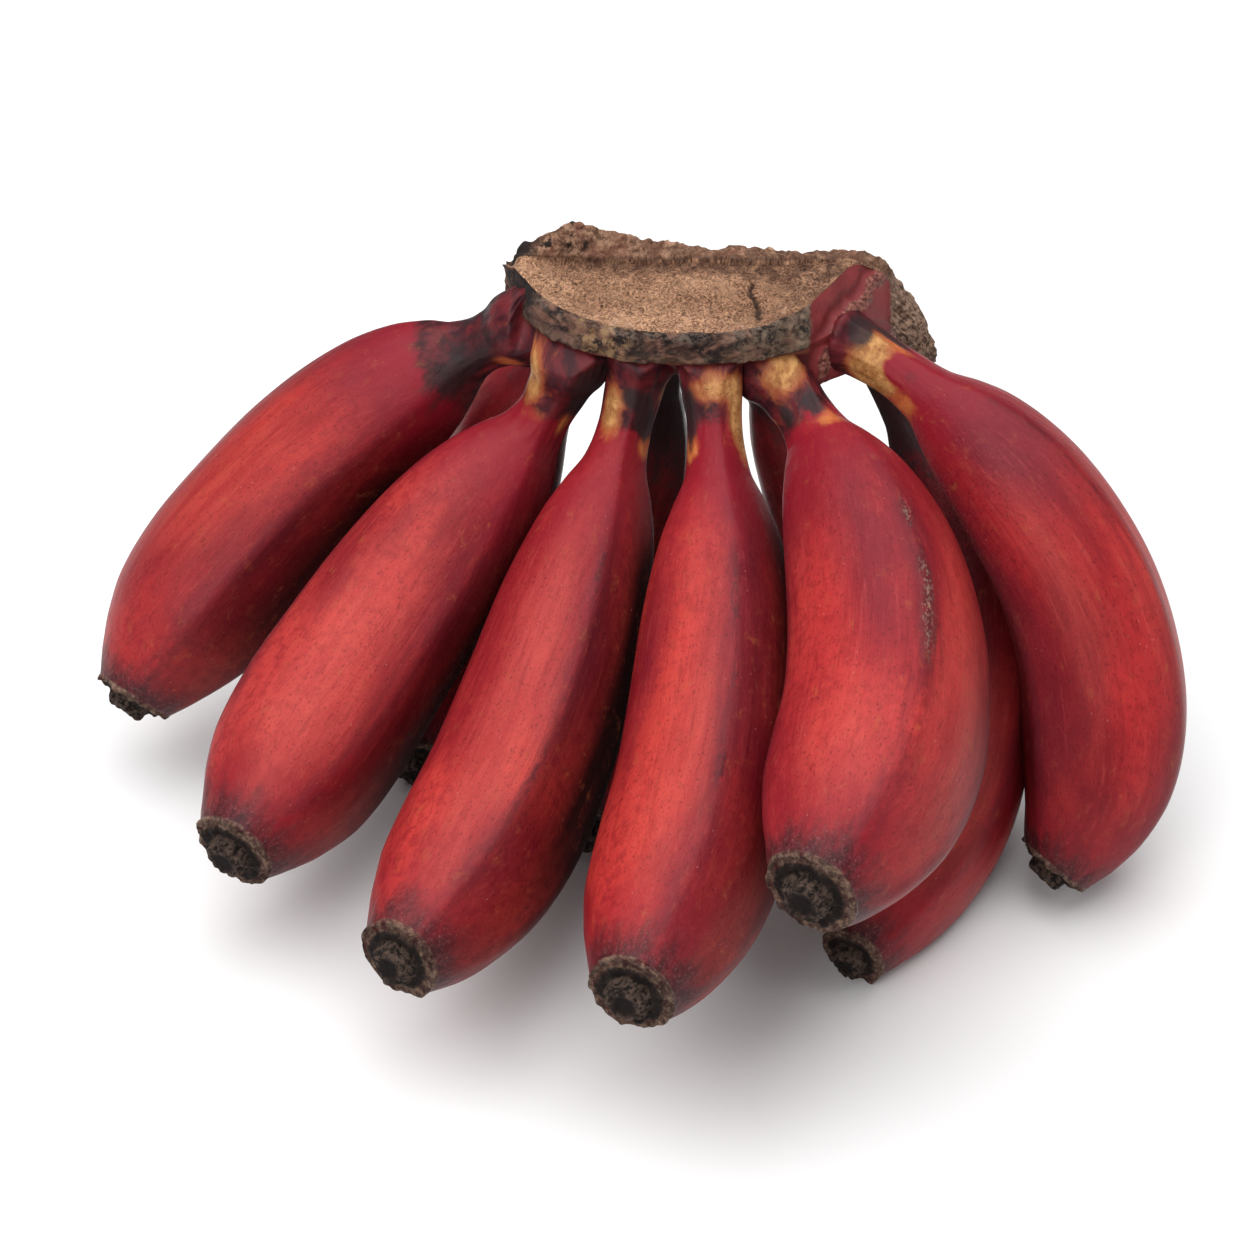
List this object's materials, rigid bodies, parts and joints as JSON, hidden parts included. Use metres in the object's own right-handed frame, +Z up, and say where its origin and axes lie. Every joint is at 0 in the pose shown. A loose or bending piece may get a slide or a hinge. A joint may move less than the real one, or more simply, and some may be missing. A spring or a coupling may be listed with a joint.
{
  "type": "red banana hand",
  "caption": "Hand of plump red bananas grown together at one cut crown, curving forward and resting on the backs of its lower row.",
  "frame": {"origin": "on the surface the hand lies on, under the middle of its bounding box", "axes": "+Z up, +X to the right across the hand, -Y towards the finger tips"},
  "size_m": [0.2799, 0.2252, 0.1463],
  "materials": {
    "crown": "dry cork",
    "banana_front_1": "satin peel",
    "banana_front_2": "satin peel",
    "banana_front_3": "satin peel",
    "banana_front_4": "satin peel",
    "banana_front_5": "satin peel",
    "banana_front_6": "satin peel",
    "banana_back_1": "satin peel",
    "banana_back_2": "satin peel",
    "banana_back_3": "satin peel",
    "banana_back_4": "satin peel"
  },
  "bodies": {
    "root": {"crown": "crown", "banana_front_1": "banana_front_1", "banana_front_2": "banana_front_2", "banana_front_3": "banana_front_3", "banana_front_4": "banana_front_4", "banana_front_5": "banana_front_5", "banana_front_6": "banana_front_6", "banana_back_1": "banana_back_1", "banana_back_2": "banana_back_2", "banana_back_3": "banana_back_3", "banana_back_4": "banana_back_4"}
  },
  "joints": []
}
